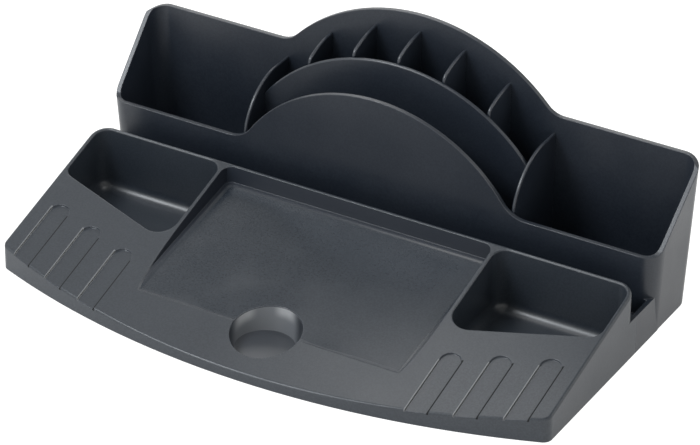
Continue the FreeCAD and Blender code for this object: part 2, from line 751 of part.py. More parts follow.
def make_plate(name, place, start, low_top, kind, space):
    """Divider across the caddy, with its tab.

    Its top edge leaves upright, bends over and ends level. The rise is two arcs that meet
    smoothly: a tight one of radius knee, then a wide one.
    """
    run = "sizes.%s_run" % kind
    rise = "sizes.%s_rise" % kind
    knee = "sizes.%s_knee" % kind
    body = new_body(name + "_plate")
    wide = "((%s - %s)^2 + %s^2 - %s^2) / (2 * (%s - %s))" % (run, knee, rise, knee, rise, knee)
    share = "%s / (%s - %s)" % (knee, wide, knee)
    turn_y = "%s + %s - (%s - %s) * %s" % (start, knee, run, knee, share)
    turn_z = "%s + (%s - %s) * %s" % (low_top, wide, rise, share)
    beyond = "sizes.caddy_rear + sizes.arch_depth"
    peak = "%s + %s" % (low_top, rise)
    outline = new_sketch(body, name + "_outline", "YZ_Plane", place)
    points = [
        (start, "sizes.caddy_floor"),
        (beyond, "sizes.caddy_floor"),
        (beyond, peak),
        ("%s + %s" % (start, run), peak),
        (turn_y, turn_z),
        (start, low_top),
    ]
    draw_loop(outline, points, {3: (wide, True), 4: (knee, True)})
    add_pad(body, outline, name + "_solid", "sizes.rib_thickness", symmetric=True)
    floor = size("sizes.caddy_floor")

    def on_top(edge):
        bounds = edge.BoundBox
        return bounds.YLength > CLOSE and bounds.XLength < CLOSE and bounds.ZMax > floor + 1

    add_chamfer(body, name + "_bevel", "sizes.plate_bevel", on_top)
    fitted = join("Part::Common", name + "_fitted", body, space)
    back = "sizes.caddy_rear - sizes.wall - sizes.caddy_round - 1"
    foot = tab(name + "_tab", place, "sizes.rib_thickness / 2", back + " - sizes.tab_width", back)
    return fuse(name, [fitted, foot]), foot


def make_dividers(space):
    """The letter partition, the pen dividers behind it and the two end dividers, with all tabs."""
    dividers = {}
    dividers["letter_partition"], tabs = make_partition()
    behind = "sizes.partition_y + sizes.partition_thickness / 2"
    for number in range(1, PEN_DIVIDERS + 1):
        name = "pen_divider_%d" % number
        place = "%d * sizes.rib_pitch" % (number - (PEN_DIVIDERS + 1) // 2)
        dividers[name], foot = make_plate(name, place, behind, partition_height(place), "rib", space)
        tabs.append(foot)
    start = "sizes.caddy_front + sizes.wall - sizes.draft_front * (sizes.end_start - sizes.lift)"
    for side, sign in SIDES:
        name = "end_divider_" + side
        place = "%s3 * sizes.rib_pitch" % sign
        dividers[name], foot = make_plate(name, place, start, "sizes.end_start", "end", space)
        tabs.append(foot)
    return dividers, tabs


def make_foot(name, across, along):
    """Round rubber foot with a bevelled lower edge."""
    body = new_body(name)
    plan = new_sketch(body, name + "_plan", "XY_Plane")
    draw_circle(plan, "0", "sizes.foot_radius")
    add_pad(body, plan, name + "_solid", "sizes.foot_height")
    add_chamfer(body, name + "_bevel", "sizes.foot_bevel", at_bottom("0"))
    body.setExpression("Placement.Base.x", across)
    body.setExpression("Placement.Base.y", along)
    doc.recompute()
    return body


# Assembly

caddy_space = drafted_block("caddy_space", "sizes.wall", "sizes.caddy_floor")
add_fillet(caddy_space, "caddy_space_floor", "sizes.caddy_round", at_bottom("sizes.caddy_floor"))

nodes, divider_tabs = make_dividers(caddy_space)
nodes["rear_caddy"] = make_caddy(caddy_space, divider_tabs)
nodes["front_tray"] = make_tray()
for end, along in (("front", "sizes.foot_front"), ("rear", "sizes.foot_back")):
    for side, sign in SIDES:
        foot_name = "foot_%s_%s" % (end, side)
        nodes[foot_name] = make_foot(foot_name, sign + "sizes.foot_x", along)

# Checks before anything is written
for item in doc.Objects:
    if "Invalid" in item.State or "Error" in item.State:
        raise RuntimeError("%s failed" % item.Name)
for name, item in nodes.items():
    item.Label = name
    shape = item.Shape
    if shape.isNull() or not shape.isValid() or len(shape.Solids) != 1:
        raise RuntimeError("%s is not one valid solid" % name)

os.makedirs("parts", exist_ok=True)
for name, item in nodes.items():
    item.Shape.exportStep("parts/%s.step" % name)
    bounds = item.Shape.BoundBox
    lengths = [round(length, 2) for length in (bounds.XLength, bounds.YLength, bounds.ZLength)]
    print(name, round(item.Shape.Volume), "mm3", lengths)
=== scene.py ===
"""Dresses the tool storage caddy and sets up its studio picture.

The frame is in metres: +X right, +Y to the back, +Z up, with the table at height zero.
"""

import logging
import math
from dataclasses import dataclass, field
from enum import Enum

import bpy
from mathutils import Matrix, Vector

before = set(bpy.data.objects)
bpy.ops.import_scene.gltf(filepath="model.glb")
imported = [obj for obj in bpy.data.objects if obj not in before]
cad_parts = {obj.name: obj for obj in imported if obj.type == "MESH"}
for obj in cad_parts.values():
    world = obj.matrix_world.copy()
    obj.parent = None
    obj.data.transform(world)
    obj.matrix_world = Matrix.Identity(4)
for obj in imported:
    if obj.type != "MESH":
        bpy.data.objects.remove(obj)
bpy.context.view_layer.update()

MILLIMETRE = 0.001

log = logging.getLogger("tool_storage_caddy")

Colour = tuple[float, float, float, float]
Triple = tuple[float, float, float]
Range = tuple[float, float]
Socket = bpy.types.NodeSocket

# A darker copy of the tray's plastic for the caddy and its dividers, which paints the shade inside the deep
# bins.
CADDY_SHADED_DARK: Colour = (0.0075, 0.0108, 0.0172, 1.0)
CADDY_SHADED_LIGHT: Colour = (0.0180, 0.0226, 0.0308, 1.0)

# Kind of Mix node for each type of socket.
MIX_KINDS = {"RGBA": "RGBA", "VECTOR": "VECTOR", "VALUE": "FLOAT"}


class Finish(Enum):
    """Names of the finishes."""

    TRAY = "tray_moulding"
    CADDY = "caddy_moulding_shaded"
    RUBBER = "foot_rubber"


class NodeTree:
    """Small helper that adds and links shader nodes in one tree."""

    def __init__(self, tree: bpy.types.NodeTree) -> None:
        """Keeps the tree that the nodes go into.

        Args:
            tree: shader tree of a material, a world or a group.
        """
        self.tree = tree

    def add(self, kind: str, label: str, **values: object) -> bpy.types.Node:
        """Adds a node.

        Args:
            kind: type name of the node.
            label: plain words for what it does.
            **values: properties of the node.

        Returns:
            The new node.
        """
        node = self.tree.nodes.new(kind)
        node.label = label
        for name, value in values.items():
            setattr(node, name, value)
        return node

    def link(self, source: Socket, target: Socket) -> None:
        """Links an output to an input.

        Args:
            source: output socket.
            target: input socket.
        """
        self.tree.links.new(source, target)

    def fill(self, target: Socket, value: object) -> None:
        """Links a socket to an input, or sets the input to a fixed value.

        Args:
            target: input socket.
            value: socket, number or colour.
        """
        if isinstance(value, Socket):
            self.link(value, target)
        else:
            target.default_value = value

    def math(self, operation: str, first: object, second: object, label: str) -> Socket:
        """Adds a Math node.

        Args:
            operation: name of the sum, such as MULTIPLY.
            first: socket or number.
            second: socket or number.
            label: plain words for what it works out.

        Returns:
            The node's output socket.
        """
        node = self.add("ShaderNodeMath", label, operation=operation)
        for socket, value in zip(node.inputs, (first, second)):
            self.fill(socket, value)
        return node.outputs[0]

    def product(self, factors: tuple[Socket, ...], label: str) -> Socket:
        """Multiplies values.

        Args:
            factors: sockets of the values.
            label: plain words for what comes out.

        Returns:
            The product.
        """
        total = factors[0]
        for factor in factors[1:]:
            total = self.math("MULTIPLY", total, factor, label)
        return total

    def remap(self, value: Socket, source: Range, target: Range, label: str) -> Socket:
        """Maps a value smoothly from one range to another.

        Args:
            value: socket to read.
            source: range that is read.
            target: range that comes out.
            label: plain words for what it works out.

        Returns:
            The mapped value.
        """
        node = self.add("ShaderNodeMapRange", label, interpolation_type="SMOOTHSTEP")
        self.link(value, node.inputs["Value"])
        node.inputs["From Min"].default_value = source[0]
        node.inputs["From Max"].default_value = source[1]
        node.inputs["To Min"].default_value = target[0]
        node.inputs["To Max"].default_value = target[1]
        return node.outputs["Result"]

    def fade(self, value: Socket, band: Range, label: str) -> Socket:
        """Makes a mask that goes smoothly from none to full.

        Args:
            value: socket to read.
            band: value where the mask starts, and value where it is full.
            label: plain words for the mask.

        Returns:
            The mask.
        """
        return self.remap(value, band, (0.0, 1.0), label)

    def blend(self, base: object, other: object, mask: Socket, label: str) -> Socket:
        """Mixes a colour, a value or a direction into another where a mask says so.

        Args:
            base: socket or colour outside the mask.
            other: socket, colour or number inside the mask.
            mask: socket of the mask.
            label: plain words for what it does.

        Returns:
            The mixed colour, value or direction.
        """
        kind = MIX_KINDS[base.type] if isinstance(base, Socket) else "RGBA"
        mix = self.add("ShaderNodeMix", label, data_type=kind)
        self.link(mask, mix.inputs["Factor"])
        self.fill(mix.inputs["A"], base)
        self.fill(mix.inputs["B"], other)
        return mix.outputs["Result"]

    def bump(self, height: Socket, normal: Socket, depth: float, strength: float) -> Socket:
        """Adds the relief of a grain.

        Args:
            height: socket of the grain's height.
            normal: socket of the direction under the grain.
            depth: depth of the grain in metres.
            strength: share of the relief that shows.

        Returns:
            The direction with the grain.
        """
        node = self.add("ShaderNodeBump", "depth of the grain")
        node.inputs["Strength"].default_value = strength
        node.inputs["Distance"].default_value = depth
        self.link(height, node.inputs["Height"])
        self.link(normal, node.inputs["Normal"])
        return node.outputs["Normal"]

    def show(self, shader: Socket) -> None:
        """Adds the output of a material.

        Args:
            shader: socket of the shader that shows.
        """
        output = self.add("ShaderNodeOutputMaterial", "surface")
        self.link(shader, output.inputs["Surface"])


def new_material(name: str) -> tuple[bpy.types.Material, NodeTree]:
    """Makes a material with an empty tree.

    Args:
        name: name of the material.

    Returns:
        The material and its tree.
    """
    material = bpy.data.materials.new(name)
    material.use_nodes = True
    material.node_tree.nodes.clear()
    return material, NodeTree(material.node_tree)


class ShaderGroup:
    """Shader node group that is built once and placed in each material that needs it."""

    def __init__(self, name: str) -> None:
        """Makes the empty group.

        Args:
            name: plain name of the effect.
        """
        self.group = bpy.data.node_groups.new(name, "ShaderNodeTree")
        self.nodes = NodeTree(self.group)
        self.entry = self.nodes.add("NodeGroupInput", "values for this material")
        self.exit = self.nodes.add("NodeGroupOutput", "what the material reads")

    def take(self, name: str, value: float) -> Socket:
        """Adds a number input.

        Args:
            name: name of the input.
            value: value that it starts with.

        Returns:
            The socket to read inside the group.
        """
        socket = self.group.interface.new_socket(name, in_out="INPUT", socket_type="NodeSocketFloat")
        socket.default_value = value
        return self.entry.outputs[name]

    def give(self, name: str, value: Socket, kind: str = "NodeSocketFloat") -> None:
        """Adds an output and links it.

        Args:
            name: name of the output.
            value: socket inside the group that it puts out.
            kind: type of the output.
        """
        self.group.interface.new_socket(name, in_out="OUTPUT", socket_type=kind)
        self.nodes.link(value, self.exit.inputs[name])

    def place(self, nodes: NodeTree, label: str, values: dict[str, float]) -> bpy.types.Node:
        """Places the group in a material.

        Args:
            nodes: tree of the material.
            label: plain words for what it does there.
            values: the group's inputs for this material.

        Returns:
            The placed node.
        """
        node = nodes.add("ShaderNodeGroup", label)
        node.node_tree = self.group
        for name, value in values.items():
            node.inputs[name].default_value = value
        return node


class SparkGrain(ShaderGroup):
    """Fine grain that an etched mould leaves, with slow uneven patches under it."""

    grain_pitch: float = 1200.0
    grain_detail: float = 2.0
    grain_roughness: float = 0.6
    patch_pitch: float = 28.0
    patch_detail: float = 3.0
    speck_band: Range = (0.35, 0.65)

    def __init__(self) -> None:
        """Builds the group: Height for bump, Patch for slow variation, Speck for fine tone."""
        super().__init__("spark_grain")
        nodes = self.nodes
        grain_pitch = self.take("Grain per Metre", self.grain_pitch)
        patch_pitch = self.take("Patches per Metre", self.patch_pitch)
        place = nodes.add("ShaderNodeTexCoord", "place on the piece")
        grain = nodes.add("ShaderNodeTexNoise", "etched grain")
        grain.inputs["Detail"].default_value = self.grain_detail
        grain.inputs["Roughness"].default_value = self.grain_roughness
        patches = nodes.add("ShaderNodeTexNoise", "uneven flow of the plastic")
        patches.inputs["Detail"].default_value = self.patch_detail
        for noise, pitch in ((grain, grain_pitch), (patches, patch_pitch)):
            nodes.link(place.outputs["Object"], noise.inputs["Vector"])
            nodes.link(pitch, noise.inputs["Scale"])
        self.give("Height", grain.outputs["Fac"])
        self.give("Patch", patches.outputs["Fac"])
        self.give("Speck", nodes.fade(grain.outputs["Fac"], self.speck_band, "light and dark specks"))


class RubbedSheenEdge(ShaderGroup):
    """Rounded sharp edges, with a mask of the edges, where the finish lays wear and a painted highlight
    along the rims.
    """

    start_radius: float = 0.5 * MILLIMETRE
    samples: int = 6
    turn_band: Range = (0.99, 0.86)

    def __init__(self) -> None:
        """Builds the group: Normal of the rounded edge and Edge, its mask."""
        super().__init__("rubbed_sheen_edge")
        nodes = self.nodes
        radius = self.take("Radius", self.start_radius)
        rounding = nodes.add("ShaderNodeBevel", "small rounding of the mould's edges", samples=self.samples)
        nodes.link(radius, rounding.inputs["Radius"])
        surface = nodes.add("ShaderNodeNewGeometry", "true surface")
        turn = nodes.add("ShaderNodeVectorMath", "how far the rounding turns", operation="DOT_PRODUCT")
        nodes.link(rounding.outputs["Normal"], turn.inputs[0])
        nodes.link(surface.outputs["Normal"], turn.inputs[1])
        self.give("Normal", rounding.outputs["Normal"], "NodeSocketVector")
        self.give("Edge", nodes.fade(turn.outputs["Value"], self.turn_band, "near an edge"))


@dataclass(frozen=True)
class TraySizes:
    """Places on the tray that its finish follows.

    Lengths are in metres and slopes are rise over run. A mask's soft edge is as wide as fine. The
    bands of the scoop's painted highlights and painted shade are shares of the scoop's reach, and the
    highlights are turned by an angle in degrees.
    """

    fine: float = 0.3 * MILLIMETRE
    deck_start: float = -77.45 * MILLIMETRE
    deck_height: float = 5.4 * MILLIMETRE
    deck_slope: float = 0.285
    deck_skin: float = 1.2 * MILLIMETRE
    recess_half: float = 66.3 * MILLIMETRE
    recess_start: float = -53.3 * MILLIMETRE
    recess_end: float = 23.2 * MILLIMETRE
    recess_height: float = 11.95 * MILLIMETRE
    recess_slope: float = 0.18
    recess_skin: Range = (0.6 * MILLIMETRE, 0.03 * MILLIMETRE)
    crease_height: float = 1.0 * MILLIMETRE
    scoop_place: float = -54.3 * MILLIMETRE
    scoop_reach: float = 18.4 * MILLIMETRE
    scoop_fade: float = 0.98
    scoop_floor: float = 12.9 * MILLIMETRE
    scoop_flare: float = 0.36
    # Bands of the scoop's painted highlights near the rim and of the painted shade at its ends.
    highlight_turn: float = 30.0
    highlight_start: Range = (0.15, 0.40)
    highlight_stop: Range = (0.72, 0.55)
    shade_ends: Range = (0.62, 0.82)
    highlight_depth: Range = (-5.0 * MILLIMETRE, -1.5 * MILLIMETRE)
    channels: int = 3
    channel_start: float = 70.2 * MILLIMETRE
    channel_pitch: float = 20.0 * MILLIMETRE
    channel_half: float = 4.7 * MILLIMETRE
    channel_line: Range = (0.55 * MILLIMETRE, 0.33 * MILLIMETRE)
    channel_skew: float = 0.305
    channel_end: float = -63.5 * MILLIMETRE


class TrayZones(ShaderGroup):
    """Masks and directions for the tray's recess, scoop and channels, from the place on the tray."""

    def __init__(self, sizes: TraySizes) -> None:
        """Builds the group.

        Args:
            sizes: places on the tray.
        """
        super().__init__("tray_zones")
        self.sizes = sizes
        nodes = self.nodes
        place = nodes.add("ShaderNodeTexCoord", "place on the tray")
        parts = nodes.add("ShaderNodeSeparateXYZ", "across, along and height")
        nodes.link(place.outputs["Object"], parts.inputs["Vector"])
        height = parts.outputs["Z"]
        self.sideways = parts.outputs["X"]
        self.along = parts.outputs["Y"]
        self.across = nodes.math("ABSOLUTE", self.sideways, 0.0, "distance from the middle")
        self.side = nodes.math("SIGN", self.sideways, 0.0, "left or right")
        deck = self.slope(sizes.deck_start, sizes.deck_height, sizes.deck_slope, "deck")
        bed = self.slope(sizes.recess_start, sizes.recess_height, sizes.recess_slope, "recess floor")
        self.below_deck = nodes.math("SUBTRACT", deck, height, "depth below the deck")
        self.above_bed = nodes.math("SUBTRACT", height, bed, "height above the recess floor")
        self.sunk = nodes.fade(self.below_deck, (sizes.fine, 2 * sizes.fine), "lower than the deck")
        self.build_recess()
        self.build_corners()
        self.build_scoop()
        self.build_channels()

    def slope(self, start: float, height: float, rise: float, label: str) -> Socket:
        """Works out the height of a sloping plane.

        Args:
            start: place along the tray where the plane has the given height.
            height: height of the plane there.
            rise: rise of the plane.
            label: plain words for the plane.

        Returns:
            The plane's height at each place.
        """
        climb = self.nodes.math("MULTIPLY", self.along, rise, "rise of the " + label)
        return self.nodes.math("ADD", climb, height - rise * start, "height of the " + label)

    def give_direction(self, name: str, parts: tuple[object, object, object]) -> None:
        """Adds an output for a direction that turns with the piece.

        Args:
            name: name of the output.
            parts: sockets or numbers for X, Y and Z on the piece.
        """
        nodes = self.nodes
        direction = nodes.add("ShaderNodeCombineXYZ", name + " on the piece")
        for socket, value in zip(direction.inputs, parts):
            nodes.fill(socket, value)
        turned = nodes.add("ShaderNodeVectorTransform", "with the piece", vector_type="NORMAL")
        turned.convert_from = "OBJECT"
        turned.convert_to = "WORLD"
        nodes.link(direction.outputs["Vector"], turned.inputs["Vector"])
        self.give(name, turned.outputs["Vector"], "NodeSocketVector")

    def build_recess(self) -> None:
        """Adds the masks of the note recess: Floor, and Crease for its corners and walls."""
        nodes = self.nodes
        half = self.sizes.recess_half
        front = self.sizes.recess_start
        fine = self.sizes.fine
        inside = nodes.fade(self.across, (half + fine, half), "between the sides")
        behind = nodes.fade(self.along, (front, front + fine), "behind the front line")
        level = nodes.fade(self.above_bed, self.sizes.recess_skin, "on the floor itself")
        recess = nodes.product((self.sunk, inside, behind), "in the recess")
        floor = nodes.product((recess, level), "floor of the recess")
        self.give("Floor", floor)
        self.give("Crease", nodes.math("SUBTRACT", recess, floor, "corners and walls of the recess"))

    def build_corners(self) -> None:
        """Adds Crease Normal: the direction of the recess's floor or wall, with sharp corners."""
        nodes = self.nodes
        sizes = self.sizes
        band = (sizes.crease_height, sizes.crease_height + sizes.fine)
        upper = nodes.fade(self.above_bed, band, "on a wall")
        lower = nodes.math("SUBTRACT", 1.0, upper, "on the floor side")
        to_side = nodes.math("SUBTRACT", sizes.recess_half, self.across, "distance to the side wall")
        to_rear = nodes.math("SUBTRACT", sizes.recess_end, self.along, "distance to the rear wall")
        nearer = nodes.math("LESS_THAN", to_rear, to_side, "nearer the rear wall")
        rear = nodes.product((nearer, upper), "on the rear wall")
        flank = nodes.math("SUBTRACT", upper, rear, "on a side wall")
        handed = nodes.product((self.side, flank), "left or right wall")
        lean = nodes.math("MULTIPLY", lower, sizes.recess_slope, "lean of the floor")
        leaning = nodes.math("ADD", rear, lean, "rear wall and floor")
        directions = (
            nodes.math("MULTIPLY", handed, -1.0, "towards the middle"),
            nodes.math("MULTIPLY", leaning, -1.0, "towards the front"),
            lower,
        )
        self.give_direction("Crease Normal", directions)

    def build_scoop(self) -> None:
        """Adds the masks of the finger scoop, and Scoop Normal with a sharp corner round its floor."""
        nodes = self.nodes
        sizes = self.sizes
        ahead = nodes.math("SUBTRACT", self.along, sizes.scoop_place, "along from the scoop's middle")
        across_squared = nodes.product((self.across, self.across), "across squared")
        along_squared = nodes.product((ahead, ahead), "along squared")
        reach = nodes.math("ADD", across_squared, along_squared, "distance squared")
        limit = sizes.scoop_reach**2
        near = nodes.fade(reach, (limit, sizes.scoop_fade * limit), "within the scoop")
        hole = nodes.fade(self.above_bed, (-sizes.fine, -2 * sizes.fine), "lower than the recess floor")
        scoop = nodes.product((self.sunk, hole, near), "in the scoop")
        inner = nodes.math("LESS_THAN", reach, sizes.scoop_floor**2, "inside the floor's edge")
        floor = nodes.product((scoop, inner), "floor of the scoop")
        wall = nodes.math("SUBTRACT", scoop, floor, "wall of the scoop")
        self.give("Scoop", scoop)
        self.give("Scoop Floor", floor)
        self.give("Scoop Wall", wall)
        inward = nodes.math("MULTIPLY", wall, -1.0 / sizes.scoop_floor, "in towards the middle")
        taken = nodes.math("MULTIPLY", wall, 1.0 - sizes.scoop_flare, "what the wall takes off")
        directions = (
            nodes.product((self.sideways, inward), "in, across"),
            nodes.product((ahead, inward), "in, along"),
            nodes.math("SUBTRACT", 1.0, taken, "up"),
        )
        self.give_direction("Scoop Normal", directions)
        self.build_scoop_light(wall, ahead)

    def build_scoop_light(self, wall: Socket, ahead: Socket) -> None:
        """Adds the masks of the scoop's painted highlights near the rim and of the painted shade at its
        ends.

        Args:
            wall: mask of the scoop's wall.
            ahead: place along the tray from the scoop's middle.
        """
        nodes = self.nodes
        sizes = self.sizes
        turn = math.radians(sizes.highlight_turn)
        aside_x = nodes.math("MULTIPLY", self.sideways, math.cos(turn) / sizes.scoop_reach, "aside, across")
        aside_y = nodes.math("MULTIPLY", ahead, math.sin(turn) / sizes.scoop_reach, "aside, along")
        aside = nodes.math("ADD", aside_x, aside_y, "aside from the back")
        apart = nodes.math("ABSOLUTE", aside, 0.0, "either side of the back")
        start = nodes.fade(apart, sizes.highlight_start, "past the middle of the back")
        stop = nodes.fade(apart, sizes.highlight_stop, "before the ends")
        ends = nodes.fade(apart, sizes.shade_ends, "ends of the scoop")
        rim = nodes.fade(self.above_bed, sizes.highlight_depth, "near the rim")
        # Painted highlights either side of the back of the wall, and painted shade at its ends.
        self.give("Scoop Highlight", nodes.product((wall, start, stop, rim), "painted highlights on the wall"))
        self.give("Scoop Ends Shade", nodes.product((wall, ends), "ends of the wall"))

    def build_channels(self) -> None:
        """Adds a mask for the left and the right edge of the tool channels, and Deck Normal."""
        nodes = self.nodes
        sizes = self.sizes
        past = nodes.math("SUBTRACT", self.across, sizes.channel_start, "distance past the first side")
        within = nodes.math("MODULO", past, sizes.channel_pitch, "place in one channel's share")
        beside = nodes.math("SUBTRACT", within, sizes.channel_pitch / 2, "distance from the middle")
        handed = nodes.product((beside, self.side), "left or right of the channel's middle")
        last = sizes.channel_start + sizes.channels * sizes.channel_pitch
        first_side = nodes.math("GREATER_THAN", self.across, sizes.channel_start, "past the first side")
        last_side = nodes.math("LESS_THAN", self.across, last, "before the last side")
        skewed = nodes.math("MULTIPLY", self.across, sizes.channel_skew, "slant of the channels' ends")
        short = nodes.math("SUBTRACT", self.along, skewed, "place before the slanted ends")
        straight = nodes.math("LESS_THAN", short, sizes.channel_end, "straight part of a channel")
        top = nodes.math("LESS_THAN", self.below_deck, sizes.deck_skin, "upper side")
        deck = nodes.product((straight, top, first_side, last_side), "deck with channels")
        for name, edge in (("Right Line", sizes.channel_half), ("Left Line", -sizes.channel_half)):
            aside = nodes.math("SUBTRACT", handed, edge, "distance from that edge")
            gap = nodes.math("ABSOLUTE", aside, 0.0, "distance either way")
            line = nodes.fade(gap, sizes.channel_line, "line along the edge")
            self.give(name, nodes.product((line, deck), "line on the deck"))
        self.give_direction("Deck Normal", (0.0, -sizes.deck_slope, 1.0))


@dataclass
class Layers:
    """Sockets that a finish builds up, layer by layer."""

    colour: Socket
    roughness: Socket
    normal: Socket


@dataclass(frozen=True)
class MouldedPlastic:
    """Satin charcoal plastic from an etched mould."""

    name: str
    dark: Colour = (0.011, 0.0150, 0.0215, 1.0)
    light: Colour = (0.026, 0.0320, 0.0405, 1.0)
    # Paler colour of the edges: wear, and a painted highlight along the rims.
    rubbed_sheen: Colour = (0.042, 0.048, 0.060, 1.0)
    tone_share: float = 0.5
    refraction: float = 1.5
    roughness: Range = (0.31, 0.38)
    roughness_band: Range = (0.3, 0.7)
    rubbed_roughness: float = 0.25
    grain_depth: float = 0.05 * MILLIMETRE
    grain_strength: float = 0.35
    edge_radius: float = 0.55 * MILLIMETRE
    # Painted shade in the corners and on the walls of the recess.
    crease_shade: Colour = (0.014, 0.018, 0.026, 1.0)
    floor_roughness: Range = (0.17, 0.26)
    smudge_band: Range = (0.35, 0.65)
    # Painted highlight along the left edges of the tool channels, and painted shade along their right
    # edges.
    channel_highlight: Colour = (0.110, 0.116, 0.124, 1.0)
    channel_shade: Colour = (0.003, 0.004, 0.005, 1.0)
    channel_shade_roughness: float = 1.0
    # Painted light in the scoop: a lighter wall, a paler floor, painted shade at its ends and painted
    # highlights near the rim.
    scoop_wall_light: Colour = (0.092, 0.099, 0.110, 1.0)
    scoop_floor: Colour = (0.034, 0.038, 0.046, 1.0)
    scoop_ends_shade: Colour = (0.010, 0.013, 0.018, 1.0)
    scoop_highlight: Colour = (0.230, 0.238, 0.250, 1.0)
    scoop_roughness: float = 0.42

    def make(
        self, grain: SparkGrain, edge: RubbedSheenEdge, zones: TrayZones | None = None
    ) -> bpy.types.Material:
        """Makes the material.

        Args:
            grain: group for the etched grain.
            edge: group for the rounded edges.
            zones: group for the tray's recess, scoop and channels, for the tray only.

        Returns:
            The material.
        """
        material, nodes = new_material(self.name)
        shader = nodes.add("ShaderNodeBsdfPrincipled", "charcoal plastic")
        shader.inputs["IOR"].default_value = self.refraction
        shader.inputs["Metallic"].default_value = 0.0
        nodes.show(shader.outputs["BSDF"])
        surface = grain.place(nodes, "etched grain", {}).outputs
        rim = edge.place(nodes, "rounded edges", {"Radius": self.edge_radius}).outputs
        layers = self.lay_plastic(nodes, surface, rim)
        if zones:
            masks = zones.place(nodes, "recess, scoop and channels", {}).outputs
            self.lay_recess(nodes, layers, surface, masks)
            self.lay_scoop(nodes, layers, masks)
            self.lay_channels(nodes, layers, masks)
        nodes.link(layers.colour, shader.inputs["Base Color"])
        nodes.link(layers.roughness, shader.inputs["Roughness"])
        grained = nodes.bump(surface["Height"], layers.normal, self.grain_depth, self.grain_strength)
        nodes.link(grained, shader.inputs["Normal"])
        return material

    def lay_plastic(
        self, nodes: NodeTree, surface: bpy.types.NodeOutputs, rim: bpy.types.NodeOutputs
    ) -> Layers:
        """Lays the plain plastic, paler and smoother along its edges, where the paler colour is wear and a
        painted highlight along the rims.

        Args:
            nodes: tree of the material.
            surface: outputs of the grain.
            rim: outputs of the rounded edges.

        Returns:
            The first layers.
        """
        patches = nodes.math("MULTIPLY", surface["Patch"], self.tone_share, "share of the patches")
        specks = nodes.math("MULTIPLY", surface["Speck"], self.tone_share, "share of the specks")
        tone = nodes.math("ADD", patches, specks, "tone of the plastic")
        body = nodes.blend(self.dark, self.light, tone, "dark to light charcoal")
        # Paler edges: wear, and a painted highlight along the rims.
        worn_sheen = nodes.blend(body, self.rubbed_sheen, rim["Edge"], "paler edges, with wear and painted highlight")
        satin = nodes.remap(surface["Patch"], self.roughness_band, self.roughness, "satin, a little uneven")
        gloss = nodes.blend(satin, self.rubbed_roughness, rim["Edge"], "smoother along the edges")
        return Layers(worn_sheen, gloss, rim["Normal"])

    def lay_recess(
        self, nodes: NodeTree, layers: Layers, surface: bpy.types.NodeOutputs, masks: bpy.types.NodeOutputs
    ) -> None:
        """Lays the smudged floor of the recess, and painted shade with sharp corners where the floor meets
        its walls.

        Args:
            nodes: tree of the material.
            layers: layers so far.
            surface: outputs of the grain.
            masks: outputs of the tray's zones.
        """
        crease_shade = masks["Crease"]
        sharp = masks["Crease Normal"]
        # Painted shade in the recess's corners and on its walls.
        layers.colour = nodes.blend(layers.colour, self.crease_shade, crease_shade, "painted shade in the recess corners")
        layers.normal = nodes.blend(layers.normal, sharp, crease_shade, "sharp corners of the recess")
        smudges = nodes.remap(surface["Patch"], self.smudge_band, self.floor_roughness, "smudges")
        layers.roughness = nodes.blend(layers.roughness, smudges, masks["Floor"], "smooth recess floor")

    def lay_scoop(self, nodes: NodeTree, layers: Layers, masks: bpy.types.NodeOutputs) -> None:
        """Lays the scoop's painted light: a lighter wall, a paler floor, painted shade at its ends and
        painted highlights near the rim.

        Args:
            nodes: tree of the material.
            layers: layers so far.
            masks: outputs of the tray's zones.
        """
        tones = {
            "Scoop Wall": self.scoop_wall_light,
            "Scoop Floor": self.scoop_floor,
            "Scoop Ends Shade": self.scoop_ends_shade,
            "Scoop Highlight": self.scoop_highlight,
        }
        # Paints light and shade in the scoop.
        for name, tone in tones.items():
            layers.colour = nodes.blend(layers.colour, tone, masks[name], "painted light and shade in the scoop")
        scoop = masks["Scoop"]
        sharp = masks["Scoop Normal"]
        layers.normal = nodes.blend(layers.normal, sharp, scoop, "sharp corner of the scoop")
        layers.roughness = nodes.blend(layers.roughness, self.scoop_roughness, scoop, "dull scoop")

    def lay_channels(self, nodes: NodeTree, layers: Layers, masks: bpy.types.NodeOutputs) -> None:
        """Lays a painted highlight along the left edges and painted shade along the right edges of the
        channels.

        Args:
            nodes: tree of the material.
            layers: layers so far.
            masks: outputs of the tray's zones.
        """
        flat = masks["Deck Normal"]
        # Painted highlight on the left edges, painted shade on the right edges.
        for name, tone in (("Left Line", self.channel_highlight), ("Right Line", self.channel_shade)):
            layers.normal = nodes.blend(layers.normal, flat, masks[name], "flat edges of the channels")
            layers.colour = nodes.blend(layers.colour, tone, masks[name], "painted highlight or shade along the edges")
        shade_line = masks["Right Line"]
        layers.roughness = nodes.blend(layers.roughness, self.channel_shade_roughness, shade_line, "dull line of painted shade")


